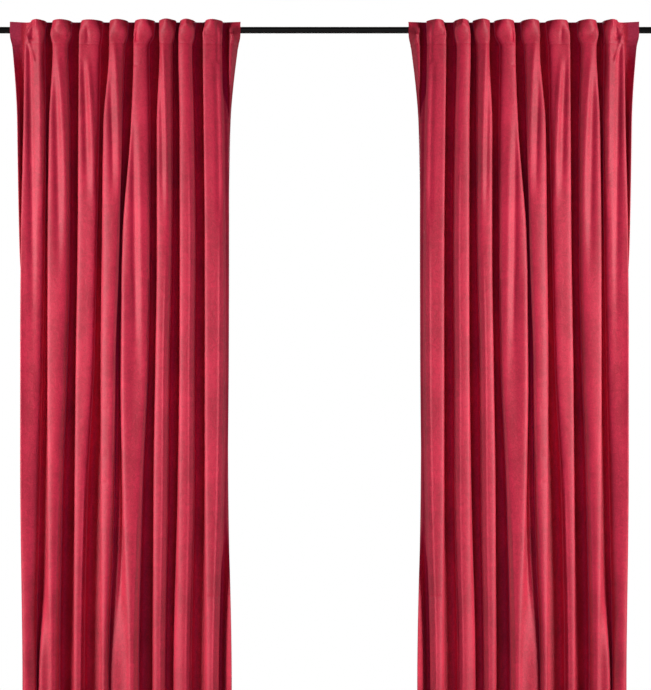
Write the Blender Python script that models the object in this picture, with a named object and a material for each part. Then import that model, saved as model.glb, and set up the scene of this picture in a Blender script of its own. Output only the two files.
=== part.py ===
"""A pair of velvet curtains that hang by hidden back tabs from one slim round rod.

The origin is on the rod's axis, midway between the two curtains. +X runs along the rod, the fronts
face -Y and +Z is up. Each curtain is one folded sheet. Its plan is worked out at several heights from
the fold table below, and the depth of every fold follows from the width of cloth that it takes up.
"""

import math

import bmesh
import bpy
import numpy as np

MM = 0.001

# The rod.
ROD_RADIUS = 11 * MM
ROD_LENGTH = 2400 * MM
ROD_SIDES = 32
ROD_CHAMFER = 1 * MM

# The cloth. Lengths inside a curtain's plan are in millimetres.
CLOTH_TOP = 24.0
CLOTH_FOOT = -2476.0
CLOTH_THICKNESS = 2.0
CLOTH_PER_FOLD = 163.0
GAP_TO_ROD = 0.5
OUTER_CORNER_X = 1064.0
VALLEY_FRONT_Y = -(ROD_RADIUS / MM + GAP_TO_ROD + CLOTH_THICKNESS)

# The heights at which the tables give the plan. Above the first, the stiff heading keeps its plan.
LEVEL_NAMES = ("heading", "seam", "upper", "chest", "middle", "lower", "foot")
LEVEL_Z = (-20.0, -66.0, -330.0, -740.0, -1140.0, -1550.0, -2210.0)
HEADING = LEVEL_NAMES.index("heading")

# Where each fold's front roll starts and ends, as distances inwards from the heading's outer corner.
# A row is a fold, from the outermost to the innermost, and the columns are the levels above.
FOLD_STARTS = (
    (58, 54, 51, 45, 46, 48, 56),
    (141, 150, 137, 134, 134, 134, 139),
    (237, 237, 235, 232, 226, 223, 220),
    (339, 341, 321, 316, 313, 313, 314),
    (422, 422, 413, 382, 377, 385, 400),
    (509, 511, 501, 501, 496, 490, 489),
    (574, 574, 578, 578, 577, 574, 571),
    (656, 656, 659, 662, 662, 663, 667),
)
FOLD_ENDS = (
    (120, 120, 123, 120, 113, 104, 94),
    (209, 197, 204, 203, 195, 180, 170),
    (313, 308, 303, 294, 285, 264, 252),
    (400, 390, 381, 372, 362, 357, 339),
    (489, 472, 475, 474, 468, 450, 437),
    (559, 551, 551, 548, 539, 535, 525),
    (626, 617, 623, 628, 625, 624, 613),
    (720, 718, 723, 728, 727, 722, 707),
)
FOLD_COUNT = len(FOLD_STARTS)

# The middles of the valleys beside the folds: a row is a valley, from the outermost to the innermost.
VALLEYS = (
    (44, 44, 43, 42, 47, 50, 58),
    (131, 133, 130, 128, 121, 110, 97),
    (223, 217, 221, 219, 212, 202, 191),
    (324, 322, 313, 306, 301, 290, 282),
    (411, 406, 396, 377, 370, 363, 335),
    (499, 492, 489, 487, 483, 474, 465),
    (566, 563, 565, 563, 558, 554, 540),
    (641, 637, 642, 647, 645, 643, 640),
    (728, 728, 731, 732, 731, 727, 713),
)

# A valley is flat, reaches this share of the way to the folds beside it, and drifts back once it hangs free.
FLOOR_SHARE = 0.68
OUTER_SIDE_FLOOR = (8, 8, 7, 6, -1, -2, -2)
INNER_SIDE_FLOOR = 8
FLOOR_ROUNDING = (0, 0, 1, 1, 2, 2, 2)
VALLEY_BACK = (0, 0, 3, 5, 6, 7, 9)

# Two of the valleys are shallower than the others from the middle down.
VALLEY_LIFT = (0, 26, 0, 0, 40, 0, 0, 0, 0)
SHALLOW = (0, 0, 0.15, 0.5, 0.75, 0.85, 1)

# Low down, a valley's floor climbs to the inner fold, whose outer flank leans. These hold for the last
# level, one for each fold, and set in by the shares for the levels.
FLOOR_CLIMB = (0, 6, 14, 14, 6, 0, 5, 3)
FLANK_LEAN = (0, 7, 1, -3, 14, 6, 16, 8)
LOW_DOWN = (0, 0, 0, 0.03, 0.12, 0.35, 1)

# Near the foot, two of the folds have a flat lobe on their outer side, as wide as this. It lies this
# share of the fold's depth further forward than a flank would and draws the valley's floor in.
LOBE_WIDTH = (0, 20, 0, 0, 36, 0, 0, 0)
LOBE_RISE = (0, 0.48, 0, 0, 0.26, 0, 0, 0)
LOBE_DRAW = (0, 0.7, 0, 0, 0.7, 0, 0, 0)
LOBES_SET_IN = (0, 0, 0, 0, 0, 0, 1)

# How much more cloth than the others a fold takes up at the foot, and the shares of it higher up.
MORE_CLOTH = (-4, 8, -8, -10, 38, -12, -8, -4)
MORE_CLOTH_SETS_IN = (0, 0, 0.1, 0.4, 0.6, 0.7, 1)

# The two side edges of the cloth, which curl forwards at the top.
OUTER_EDGE = (0, 10.5, 31, 34, 50, 54, 64)
OUTER_EDGE_FORWARD = (12, 19, 36, 12, -40, -38, -36)
INNER_EDGE = (780, 772, 744, 737, 735, 737, 751)
INNER_EDGE_FORWARD = (9, 14, -26, -34, -32, -24, 40)
EDGE_TURN = 20.0
EDGE_TURN_RISE = 4.0

# The small fold beside the inner edge: where it lies on the way to the edge, and how far forward.
SIDE_FOLD_PLACE = 0.3
SIDE_FOLD_FORWARD = (32, 28, 3, 0, 0, 0, 6)

# The points of one fold. The foremost lies this share of the way from the roll's start to its end. The
# roll's two shoulders and the middles of its steep flanks lie this far forward, as shares of its depth.
FOREMOST_ACROSS = (0.46, 0.44, 0.38, 0.35, 0.34, 0.34, 0.36)
OUTER_SHOULDER = (0.84, 0.84, 0.86, 0.87, 0.87, 0.87, 0.86)
INNER_SHOULDER = (0.82, 0.8, 0.79, 0.78, 0.77, 0.75, 0.74)
FLANK_FORWARD = 0.42

# The folds' fronts turn inwards by these shares, a row for each fold: the foremost point lies further
# out, and half as much the outer shoulder further forward and the inner one further back.
FRONT_TURNS = (
    (0, 0, 0.06, 0.26, 0.3, 0.28, 0.22),
    (0, 0, 0, 0.1, 0.1, 0.06, 0.15),
    (0.1, 0.2, 0, -0.14, -0.08, -0.04, 0),
    (0, 0.1, 0, -0.2, -0.1, -0.04, 0),
    (0, 0, 0, -0.16, -0.14, -0.06, 0),
    (0, 0, 0, 0, 0, 0, 0),
    (0, 0, 0, 0, 0, 0, 0),
    (0.1, 0.15, 0.16, 0.04, 0, 0, 0),
)

# The folds round over towards the top edge, from this height up: their shoulders and flanks fall back by
# these shares, each fold's start and end move by these distances and its flanks lean outwards.
CROWN_FROM = -26.0
CROWN_SHOULDER = 0.17
CROWN_FLANK = 0.22
CROWN_LEAN = 8.0
CROWN_STARTS = (20, 10, 11, 6, 8, 4, 9, 11)
CROWN_ENDS = (-4, -7, -5, -7, -5, -3, -6, -7)

# How finely the solid follows the cloth: spans between one point of a plan and the next, from valley to
# valley, and the same for a side edge.
FOLD_SPANS = (1, 2, 1, 2, 2, 1, 2, 1)
EDGE_SPANS = (1, 1, 1)
FINE_POINTS = 16
ROW_Z = (
    *(CLOTH_TOP, 16, 7, -4, -20, -43, -66, -120, -200),
    *(-330, -520, -740, -1140, -1550, -1900, -2210, CLOTH_FOOT),
)
DEPTH_ROUNDS = 14
DEPTH_FIRST_GUESS = 50.0

# The hidden tabs: straps sewn to the back of the heading, over the rod and down behind it.
TAB_WIDTH = 20.0
TAB_THICKNESS = 1.5
TAB_GAP = 0.3
TAB_SEWN_TOP = 22.0
TAB_SEWN_TOP_END = 16.5
TAB_SEWN_FOOT = -52.0
TAB_SEWN_FOOT_END = -62.0
TAB_SEARCH = 12.0
TAB_ARC_FROM = 70
TAB_ARC_TO = -24
TAB_ARC_SPANS = 7

VELVET_RED = (0.42, 0.02, 0.06, 1.0)
TAPE_RED = (0.25, 0.02, 0.04, 1.0)
ROD_BLACK = (0.02, 0.02, 0.022, 1.0)


def material(name, colour, roughness, metallic=0.0):
    made = bpy.data.materials.new(name)
    made.use_nodes = True
    shader = made.node_tree.nodes["Principled BSDF"]
    shader.inputs["Base Color"].default_value = colour
    shader.inputs["Roughness"].default_value = roughness
    shader.inputs["Metallic"].default_value = metallic
    return made


def at_height(row, z):
    """A table row's value at a height, on a smooth curve that never passes beyond the row's own values."""
    heights = -np.array(LEVEL_Z)
    values = np.array(row, float)
    steps = np.diff(values) / np.diff(heights)
    slopes = np.zeros(len(values))
    for k in range(1, len(values) - 1):
        if steps[k - 1] * steps[k] > 0:
            slopes[k] = 2 / (1 / steps[k - 1] + 1 / steps[k])
    place = min(max(-z, heights[0]), heights[-1])
    k = min(int(np.searchsorted(heights, place, side="right")) - 1, len(steps) - 1)
    span = heights[k + 1] - heights[k]
    t = (place - heights[k]) / span
    return (
        (1 + 2 * t) * (1 - t) ** 2 * values[k]
        + t * (1 - t) ** 2 * span * slopes[k]
        + t * t * (3 - 2 * t) * values[k + 1]
        + t * t * (t - 1) * span * slopes[k + 1]
    )


def spline(points, per_span):
    """Points along the smoothest curve through the given ones, per_span to each stretch between two."""
    points = np.array(points, float)
    count = len(points)
    along = np.concatenate([[0], np.cumsum(np.linalg.norm(np.diff(points, axis=0), axis=1))])
    spans = np.diff(along)
    matrix = np.zeros((count, count))
    right = np.zeros((count, 2))
    matrix[0, 0] = matrix[-1, -1] = 1
    for k in range(1, count - 1):
        matrix[k, k - 1 : k + 2] = spans[k - 1], 2 * (spans[k - 1] + spans[k]), spans[k]
        right[k] = 6 * (
            (points[k + 1] - points[k]) / spans[k] - (points[k] - points[k - 1]) / spans[k - 1]
        )
    bend = np.linalg.solve(matrix, right)
    t = np.arange(per_span)[None, :, None] / per_span
    span = spans[:, None, None]
    a, b = (1 - t) * span, t * span
    curve = (1 - t) * points[:-1, None] + t * points[1:, None]
    curve += (a**3 / span - a * span) * bend[:-1, None] / 6
    curve += (b**3 / span - b * span) * bend[1:, None] / 6
    return np.concatenate([curve.reshape(-1, 2), points[-1:]])


def smooth(x):
    """0 below 0, 1 above 1 and a soft step between."""
    x = np.clip(x, 0, 1)
    return x * x * (3 - 2 * x)


def plan_points(z, depths):
    """The points that the cloth's front runs through at a height, as (inwards, forwards)."""
    valleys = [at_height(row, z) for row in VALLEYS]
    floor = -at_height(VALLEY_BACK, z)
    floors = [floor + at_height(SHALLOW, z) * lift for lift in VALLEY_LIFT]
    rounding = at_height(FLOOR_ROUNDING, z)
    low_down = at_height(LOW_DOWN, z)
    lobes = at_height(LOBES_SET_IN, z) ** 2
    crown = float(smooth((z - CROWN_FROM) / (CLOTH_TOP - CROWN_FROM)))
    flank_share = FLANK_FORWARD - CROWN_FLANK * crown
    outer_shoulder, inner_shoulder = (
        at_height(row, z) - CROWN_SHOULDER * crown for row in (OUTER_SHOULDER, INNER_SHOULDER)
    )
    outer = np.array([at_height(OUTER_EDGE, z), at_height(OUTER_EDGE_FORWARD, z)])
    inner = np.array([at_height(INNER_EDGE, z), at_height(INNER_EDGE_FORWARD, z)])
    outer_turn, inner_turn = (
        floor + EDGE_TURN_RISE * min(1, max(-1, (edge[1] - floor) / EDGE_TURN)) for edge in (outer, inner)
    )
    first = (valleys[0] - at_height(OUTER_SIDE_FLOOR, z), outer_turn)
    last = np.array([valleys[-1] + INNER_SIDE_FLOOR, inner_turn])
    points = [outer, (outer + first) / 2, first]
    for k in range(FOLD_COUNT):
        start = at_height(FOLD_STARTS[k], z) + crown * CROWN_STARTS[k]
        end = at_height(FOLD_ENDS[k], z) + crown * CROWN_ENDS[k]
        depth = depths[k]
        turn = at_height(FRONT_TURNS[k], z)
        flank = start - low_down * FLANK_LEAN[k] - lobes * LOBE_WIDTH[k] - crown * CROWN_LEAN
        rise = valleys[k] + FLOOR_SHARE * (1 - lobes * LOBE_DRAW[k]) * (flank - valleys[k])
        flank_forward = (flank_share + lobes * LOBE_RISE[k]) * depth
        inner_flank = end + crown * CROWN_LEAN
        fall = valleys[k + 1] + FLOOR_SHARE * (inner_flank - valleys[k + 1])
        points += [
            (valleys[k], floors[k] + low_down * FLOOR_CLIMB[k] / 4),
            (rise, floors[k] + rounding + low_down * FLOOR_CLIMB[k]),
            (flank, flank_forward + low_down * FLOOR_CLIMB[k] / 2),
            (start, (outer_shoulder + turn / 2) * depth),
            (start + (at_height(FOREMOST_ACROSS, z) - turn) * (end - start), depth),
            (end, (inner_shoulder - turn / 2) * depth),
            (inner_flank, flank_share * depth),
            (fall, floors[k + 1] + rounding),
        ]
    side_forward = (1 - crown) * at_height(SIDE_FOLD_FORWARD, z)
    side_fold = last + SIDE_FOLD_PLACE * (inner - last) + (0, side_forward)
    return [*points, (valleys[-1], floor), last, side_fold, inner]


def plan_curve(z):
    """The cloth's front at a height as a fine curve, FINE_POINTS to each stretch. The folds' depths are
    brought by rounds to where each fold takes up its share of the cloth's width."""
    valley_at = (len(EDGE_SPANS) + len(FOLD_SPANS) * np.arange(FOLD_COUNT + 1)) * FINE_POINTS
    cloth = CLOTH_PER_FOLD + at_height(MORE_CLOTH_SETS_IN, z) * np.array(MORE_CLOTH)
    depths = np.full(FOLD_COUNT, DEPTH_FIRST_GUESS)
    for _ in range(DEPTH_ROUNDS):
        curve = spline(plan_points(z, depths), FINE_POINTS)
        along = np.concatenate([[0], np.cumsum(np.linalg.norm(np.diff(curve, axis=0), axis=1))])
        depths += (cloth - np.diff(along[valley_at])) / 2
    return curve


def plan_row(z):
    """The front's points at a height that become one row of the solid's vertices."""
    spans = EDGE_SPANS + FOLD_SPANS * FOLD_COUNT + EDGE_SPANS[::-1]
    picks = [k * FINE_POINTS + n * FINE_POINTS // span for k, span in enumerate(spans) for n in range(span)]
    return plan_curve(z)[[*picks, len(spans) * FINE_POINTS]]


def backwards(row):
    """Unit directions in plan, at right angles to the cloth and towards its back."""
    run = np.gradient(row, axis=0)
    run /= np.linalg.norm(run, axis=1)[:, None]
    return np.stack([run[:, 1], -run[:, 0]], axis=1)


def place(row, z, side):
    """Points of a plan as world points in metres, on the left (side -1) or the right (side 1)."""
    x = side * (OUTER_CORNER_X - row[:, 0])
    y = VALLEY_FRONT_Y - row[:, 1]
    return np.stack([x, y, np.full(len(row), float(z))], axis=1) * MM


def add_object(name, points, faces, look):
    """A closed mesh as an object of its own, with its faces turned outwards."""
    mesh = bpy.data.meshes.new(name)
    mesh.from_pydata([tuple(p) for p in points], [], faces)
    shape = bmesh.new()
    shape.from_mesh(mesh)
    bmesh.ops.recalc_face_normals(shape, faces=shape.faces)
    shape.to_mesh(mesh)
    shape.free()
    mesh.materials.append(look)
    mesh.shade_smooth()
    mesh.set_sharp_from_angle(angle=math.radians(50))
    made = bpy.data.objects.new(name, mesh)
    bpy.context.scene.collection.objects.link(made)
    return made


def add_panel(name, rows, side, look):
    """One curtain: the rows' front points, the same points a thickness further back, and a rim."""
    fronts, backs = [], []
    for z, row in zip(ROW_Z, rows):
        fronts.append(place(row, z, side))
        backs.append(place(row + CLOTH_THICKNESS * backwards(row), z, side))
    tall, wide = len(rows), len(rows[0])
    points = np.concatenate(fronts + backs)

    def front(i, j):
        return i * wide + j

    def back(i, j):
        return (tall + i) * wide + j

    faces = []
    for i in range(tall - 1):
        for j in range(wide - 1):
            faces.append((front(i, j), front(i + 1, j), front(i + 1, j + 1), front(i, j + 1)))
            faces.append((back(i, j), back(i, j + 1), back(i + 1, j + 1), back(i + 1, j)))
        for j in (0, wide - 1):
            faces.append((front(i, j), back(i, j), back(i + 1, j), front(i + 1, j)))
    for i in (0, tall - 1):
        for j in range(wide - 1):
            faces.append((front(i, j), front(i, j + 1), back(i, j + 1), back(i, j)))
    return add_object(name, points, faces, look)


def tab_path(cloth_back):
    """The middle line of a tab's strap from the side, as (back, up): down the heading's back, over the rod,
    and down to where its foot is sewn on."""
    sewn = cloth_back + TAB_GAP + TAB_THICKNESS / 2
    reach = ROD_RADIUS / MM + TAB_GAP + TAB_THICKNESS / 2
    angles = np.radians(np.linspace(TAB_ARC_FROM, TAB_ARC_TO, TAB_ARC_SPANS + 1))
    over = [(reach * math.cos(a), reach * math.sin(a)) for a in angles]
    return np.array(
        [(sewn, TAB_SEWN_TOP), (sewn, TAB_SEWN_TOP_END), *over, (sewn, TAB_SEWN_FOOT), (sewn, TAB_SEWN_FOOT_END)]
    )


def add_tab(name, middle_x, cloth_back, look):
    """A strap of even thickness along its path."""
    path = tab_path(cloth_back)
    sides = backwards(path) * TAB_THICKNESS / 2
    outline = np.concatenate([path + sides, (path - sides)[::-1]])
    count = len(outline)
    points = [
        np.array((middle_x + end * TAB_WIDTH / 2, y, z)) * MM for end in (-1, 1) for y, z in outline
    ]
    faces = [tuple(range(count)), tuple(range(count, 2 * count))]
    for k in range(count):
        n = (k + 1) % count
        faces.append((k, n, count + n, count + k))
    return add_object(name, points, faces, look)


def cloth_back_behind_tab(rows, valley):
    """The furthest back that the cloth reaches in front of a tab, in millimetres along +Y."""
    rearmost = -math.inf
    for z, row in zip(ROW_Z, rows):
        if z >= TAB_SEWN_FOOT_END - TAB_SEARCH:
            back = row + CLOTH_THICKNESS * backwards(row)
            near = np.abs(back[:, 0] - valley) < TAB_WIDTH / 2 + TAB_SEARCH
            rearmost = max(rearmost, float((VALLEY_FRONT_Y - back[near, 1]).max()))
    return rearmost


def add_rod(look):
    """A round bar along X with a small chamfer at each end."""
    shape = bmesh.new()
    bmesh.ops.create_cone(
        shape,
        cap_ends=True,
        segments=ROD_SIDES,
        radius1=ROD_RADIUS,
        radius2=ROD_RADIUS,
        depth=ROD_LENGTH,
    )
    rims = [edge for edge in shape.edges if abs(edge.verts[0].co.z - edge.verts[1].co.z) < ROD_CHAMFER]
    bmesh.ops.bevel(shape, geom=rims, offset=ROD_CHAMFER, segments=1, affect="EDGES")
    mesh = bpy.data.meshes.new("rod")
    shape.to_mesh(mesh)
    shape.free()
    mesh.materials.append(look)
    mesh.shade_smooth()
    mesh.set_sharp_from_angle(angle=math.radians(40))
    made = bpy.data.objects.new("rod", mesh)
    made.rotation_euler = (0, math.pi / 2, 0)
    bpy.context.scene.collection.objects.link(made)
    return made


def main():
    for old in list(bpy.data.objects):
        bpy.data.objects.remove(old)
    velvet = material("velvet", VELVET_RED, 0.85)
    tape = material("tab_tape", TAPE_RED, 0.9)
    paint = material("rod_paint", ROD_BLACK, 0.4)
    add_rod(paint)
    rows = [plan_row(z) for z in ROW_Z]
    for name, side in (("left", -1), ("right", 1)):
        add_panel(f"panel_{name}", rows, side, velvet)
        for number, valley in enumerate([row[HEADING] for row in VALLEYS], 1):
            cloth_back = cloth_back_behind_tab(rows, valley)
            add_tab(f"tab_{name}_{number}", side * (OUTER_CORNER_X - valley), cloth_back, tape)


main()
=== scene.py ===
"""The looks of a pair of crimson velvet curtains that hang by hidden back tabs from a slim black rod.

The folds are worked out as in the model: a table gives where each fold's roll starts and ends at several
heights, and its depth follows from the width of cloth that it takes up. On that plan come the creases
that the photograph shows, the hems with their stitches, the straps and the finishes.
"""

import math

import bmesh
import bpy
import numpy as np
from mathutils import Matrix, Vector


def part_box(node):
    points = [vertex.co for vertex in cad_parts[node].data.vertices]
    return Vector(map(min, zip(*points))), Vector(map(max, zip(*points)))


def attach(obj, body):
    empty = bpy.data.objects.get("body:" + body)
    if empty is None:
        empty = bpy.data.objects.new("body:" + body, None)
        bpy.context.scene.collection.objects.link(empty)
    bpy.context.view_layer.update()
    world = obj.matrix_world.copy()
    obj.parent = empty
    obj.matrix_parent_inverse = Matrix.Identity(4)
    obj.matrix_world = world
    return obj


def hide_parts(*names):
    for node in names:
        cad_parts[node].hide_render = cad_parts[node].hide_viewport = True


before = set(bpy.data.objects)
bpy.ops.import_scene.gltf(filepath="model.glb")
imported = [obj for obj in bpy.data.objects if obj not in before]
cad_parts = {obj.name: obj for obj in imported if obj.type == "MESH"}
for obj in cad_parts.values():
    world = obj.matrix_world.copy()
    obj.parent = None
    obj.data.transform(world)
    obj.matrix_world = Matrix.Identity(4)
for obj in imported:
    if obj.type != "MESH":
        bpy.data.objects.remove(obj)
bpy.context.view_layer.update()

MM = 0.001
LEFT, RIGHT = -1, 1
SIDES = {"left": LEFT, "right": RIGHT}

# The rod's middle line is the frame's X axis.
ROD_LOW, ROD_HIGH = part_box("rod")
ROD_RADIUS = (ROD_HIGH.z - ROD_LOW.z) / 2
ROD_LENGTH = ROD_HIGH.x - ROD_LOW.x

# The cloth. Lengths inside a curtain's plan are in millimetres.
PANEL_LOW, PANEL_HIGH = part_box("panel_left")
CLOTH_TOP = PANEL_HIGH.z / MM
CLOTH_FOOT = PANEL_LOW.z / MM
OUTER_CORNER_X = -PANEL_LOW.x / MM
HEM_THICKNESS = 2.0
BODY_THICKNESS = 1.4
CLOTH_PER_FOLD = 163.0
GAP_TO_ROD = 0.5
VALLEY_FRONT_Y = -(ROD_RADIUS / MM + GAP_TO_ROD + HEM_THICKNESS)

# The heights at which the tables give the plan: the heading, its seam, the upper part, the chest, the
# middle, the lower part and the foot. Above the first, the stiff heading keeps its plan.
LEVEL_Z = (-20.0, -66.0, -330.0, -740.0, -1140.0, -1550.0, -2210.0)

# Where each fold's front roll starts and ends, as distances inwards from the heading's outer corner.
# A row is a fold, from the outermost to the innermost, and the columns are the levels above.
FOLD_STARTS = (
    (58, 54, 51, 45, 46, 48, 56),
    (141, 150, 137, 134, 134, 134, 139),
    (237, 237, 235, 232, 226, 223, 220),
    (339, 341, 321, 316, 313, 313, 314),
    (422, 422, 413, 382, 377, 385, 400),
    (509, 511, 501, 501, 496, 490, 489),
    (574, 574, 578, 578, 577, 574, 571),
    (656, 656, 659, 662, 662, 663, 667),
)
FOLD_ENDS = (
    (120, 120, 123, 120, 113, 104, 94),
    (209, 197, 204, 203, 195, 180, 170),
    (313, 308, 303, 294, 285, 264, 252),
    (400, 390, 381, 372, 362, 357, 339),
    (489, 472, 475, 474, 468, 450, 437),
    (559, 551, 551, 548, 539, 535, 525),
    (626, 617, 623, 628, 625, 624, 613),
    (720, 718, 723, 728, 727, 722, 707),
)
FOLD_COUNT = len(FOLD_STARTS)

# The middles of the valleys beside the folds: a row is a valley, from the outermost to the innermost.
VALLEYS = (
    (44, 44, 43, 42, 47, 50, 58),
    (131, 133, 130, 128, 121, 110, 97),
    (223, 217, 221, 219, 212, 202, 191),
    (324, 322, 313, 306, 301, 290, 282),
    (411, 406, 396, 377, 370, 363, 335),
    (499, 492, 489, 487, 483, 474, 465),
    (566, 563, 565, 563, 558, 554, 540),
    (641, 637, 642, 647, 645, 643, 640),
    (728, 728, 731, 732, 731, 727, 713),
)

# A valley is flat, reaches this share of the way to the folds beside it, and drifts back once it hangs free.
FLOOR_SHARE = 0.68
OUTER_SIDE_FLOOR = (8, 8, 7, 6, -1, -2, -2)
INNER_SIDE_FLOOR = 8
FLOOR_ROUNDING = (0, 0, 1, 1, 2, 2, 2)
VALLEY_BACK = (0, 0, 3, 5, 6, 7, 9)

# Two of the valleys grow shallower on the way down: how far each is lifted at the foot, and the shares of
# that for the levels.
VALLEY_LIFT = (0, 26, 0, 0, 40, 0, 0, 0, 0)
SHALLOW = (0, 0, 0.15, 0.5, 0.75, 0.85, 1)

# Low down, a valley's floor climbs to the inner fold, whose outer flank leans. These hold for the last
# level, one for each fold, and set in by the shares for the levels.
FLOOR_CLIMB = (0, 6, 14, 14, 6, 0, 5, 3)
FLANK_LEAN = (0, 7, 1, -3, 14, 6, 16, 8)
LOW_DOWN = (0, 0, 0, 0.03, 0.12, 0.35, 1)

# Near the foot, two of the folds have a flat lobe on their outer side, as wide as this. It lies this
# share of the fold's depth further forward than a flank would and draws the valley's floor in.
LOBE_WIDTH = (0, 20, 0, 0, 36, 0, 0, 0)
LOBE_RISE = (0, 0.48, 0, 0, 0.26, 0, 0, 0)
LOBE_DRAW = (0, 0.7, 0, 0, 0.7, 0, 0, 0)
LOBES_SET_IN = (0, 0, 0, 0, 0, 0, 1)

# How much more cloth than the common width a fold takes up at the foot, and the shares of it for the levels.
MORE_CLOTH = (-4, 8, -8, -10, 38, -12, -8, -4)
MORE_CLOTH_SETS_IN = (0, 0, 0.1, 0.4, 0.6, 0.7, 1)

# The two side edges of the cloth: where each lies and how far forward. The floor's end beside an edge
# moves forwards or back towards it, by the last value where the two are the one before it or more apart.
OUTER_EDGE = (0, 10.5, 31, 34, 50, 54, 64)
OUTER_EDGE_FORWARD = (12, 19, 36, 12, -40, -38, -36)
INNER_EDGE = (780, 772, 744, 737, 735, 737, 751)
INNER_EDGE_FORWARD = (9, 14, -26, -34, -32, -24, 40)
EDGE_TURN = 20.0
EDGE_TURN_RISE = 4.0

# The small fold beside the inner edge: where it lies on the way to the edge, and how far forward.
SIDE_FOLD_PLACE = 0.3
SIDE_FOLD_FORWARD = (32, 28, 3, 0, 0, 0, 6)

# The points of one fold. The foremost lies this share of the way from the roll's start to its end. The
# roll's two shoulders and the middles of its steep flanks lie this far forward, as shares of its depth.
FOREMOST_ACROSS = (0.46, 0.44, 0.38, 0.35, 0.34, 0.34, 0.36)
OUTER_SHOULDER = (0.84, 0.84, 0.86, 0.87, 0.87, 0.87, 0.86)
INNER_SHOULDER = (0.82, 0.8, 0.79, 0.78, 0.77, 0.75, 0.74)
FLANK_FORWARD = 0.42

# The folds' fronts turn inwards by these shares, a row for each fold: the foremost point lies further
# out, and half as much the outer shoulder further forward and the inner one further back.
FRONT_TURNS = (
    (0, 0, 0.06, 0.26, 0.3, 0.28, 0.22),
    (0, 0, 0, 0.1, 0.1, 0.06, 0.15),
    (0.1, 0.2, 0, -0.14, -0.08, -0.04, 0),
    (0, 0.1, 0, -0.2, -0.1, -0.04, 0),
    (0, 0, 0, -0.16, -0.14, -0.06, 0),
    (0, 0, 0, 0, 0, 0, 0),
    (0, 0, 0, 0, 0, 0, 0),
    (0.1, 0.15, 0.16, 0.04, 0, 0, 0),
)

# The folds round over towards the top edge, from this height up: their shoulders and flanks fall back by
# these shares, each fold's start and end move by these distances and its flanks lean away from it.
CROWN_FROM = -26.0
CROWN_SHOULDER = 0.17
CROWN_FLANK = 0.22
CROWN_LEAN = 8.0
CROWN_STARTS = (20, 10, 11, 6, 8, 4, 9, 11)
CROWN_ENDS = (-4, -7, -5, -7, -5, -3, -6, -7)

# The rounds that bring each fold's depth to where the fold takes up its cloth, the points to a stretch in
# those rounds, and the depth that they begin with.
DEPTH_ROUNDS = 14
ROUND_POINTS = 16
DEPTH_FIRST_GUESS = 50.0

# How finely the sheet follows the plan: points to each stretch between two of a plan's points, from valley
# to valley, and the same for a side edge. They are picked from a curve with this many points to a stretch.
FOLD_SPANS = (2, 5, 4, 10, 16, 6, 5, 2)
EDGE_SPANS = (4, 4, 3)
FINE_POINTS = 60

# The rows: close together in the heading, further apart below it. The rows beside a seam, a crease that
# runs across or the top edge have their own places, and other rows keep this gap from them.
HEADING_ROWS = 34
HEADING_ROWS_FOOT = -150.0
BODY_ROWS = 66
ROW_GAP = 5.0
SEAM_ROW_STEPS = (3, 1.2, 0, -1.2, -3)
CROSS_CREASE_ROW_STEPS = (4, 0, -4)
RIM_ROW_STEP = 1

# The creases. Each runs down the front through three places across the curtain, between two heights, as a
# soft ridge or, with a negative lift, a trough. It fades in and out over a share of its length. The columns
# are the three places, the upper and the lower height, the half width, the lift and the two shares.
CREASES = (
    (104, 109, 111, 12, -740, 8, 5, 0.06, 0.5),
    (71, 79, 83, -24, -1200, 12, -10, 0.05, 0.6),
    (163, 190, 194, -40, -860, 10, 5, 0.15, 0.5),
    (158, 166, 172, -110, -900, 12, -7, 0.2, 0.4),
    (264, 283, 285, -80, -640, 9, 7, 0.2, 0.4),
    (251, 260, 263, -80, -600, 10, -6, 0.2, 0.4),
    (261, 266, 262, 12, -66, 5, -3.5, 0.3, 0.4),
    (356, 374, 373, -30, -720, 9, 6, 0.1, 0.4),
    (341, 350, 351, -150, -600, 9, -6, 0.2, 0.4),
    (420, 424, 428, -220, -1180, 10, -7, 0.3, 0.4),
    (440, 449, 452, -250, -1300, 10, 3, 0.3, 0.4),
    (522, 532, 535, -30, -720, 8, 5, 0.1, 0.4),
    (513, 518, 518, -150, -660, 8, -3, 0.2, 0.4),
    (698, 707, 709, -80, -700, 9, -5, 0.2, 0.3),
)

# The pressed lines, a thin ridge each along a fold's inner side. The columns are the fold's number, how far
# outwards from the fold's end the line lies at its top and at its foot, those two heights and the lift.
PRESSED_LINES = (
    (2, 7, 9, -1500, -2440, 1.6),
    (3, 8, 9, -1500, -2440, 1.6),
    (5, 12, 13, -1600, -2440, 1.6),
    (6, 17, 12, -700, -2440, 1.8),
    (7, 15, 14, -300, -2440, 1.8),
    (8, 16, 17, -600, -2440, 2.6),
)
PRESSED_FADE = 0.15
PRESSED_HALF_WIDTH = 3.5

# The short creases of the heading, each a soft ridge or trough along a straight line. The columns are the
# place and the height where it starts, those where it ends, the half width and the lift.
HEADING_CREASES = (
    (64, -30, 86, -112, 5, 5),
    (84, 16, 81, -36, 7, -6),
    (148, 12, 158, -10, 6, -3),
    (208, 14, 203, -26, 6, -3),
    (421, 14, 428, -42, 7, -8),
    (577, -2, 602, 6, 5, 3),
    (602, 6, 626, -4, 5, 3),
    (655, 0, 650, -34, 6, 6),
    (704, 14, 706, -110, 5, -3),
    (742, -2, 768, -58, 6, 4),
    (20, 12, 34, -30, 5, 3),
    (16, -36, 40, -64, 5, 3),
)

# Short creases straight across a fold's front: from where to where, at which height, and the lift.
CROSS_CREASES = (
    (62, 102, -1159, -1.5),
    (314, 344, -1287, -1.5),
    (314, 342, -1445, -1.2),
    (312, 340, -1535, -1.5),
    (46, 82, -1539, -1.2),
    (668, 742, -1917, -2.0),
    (380, 440, -127, -1.5),
)
CROSS_HALF_HEIGHT = 3.5
CROSS_FADE = 8.0

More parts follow.
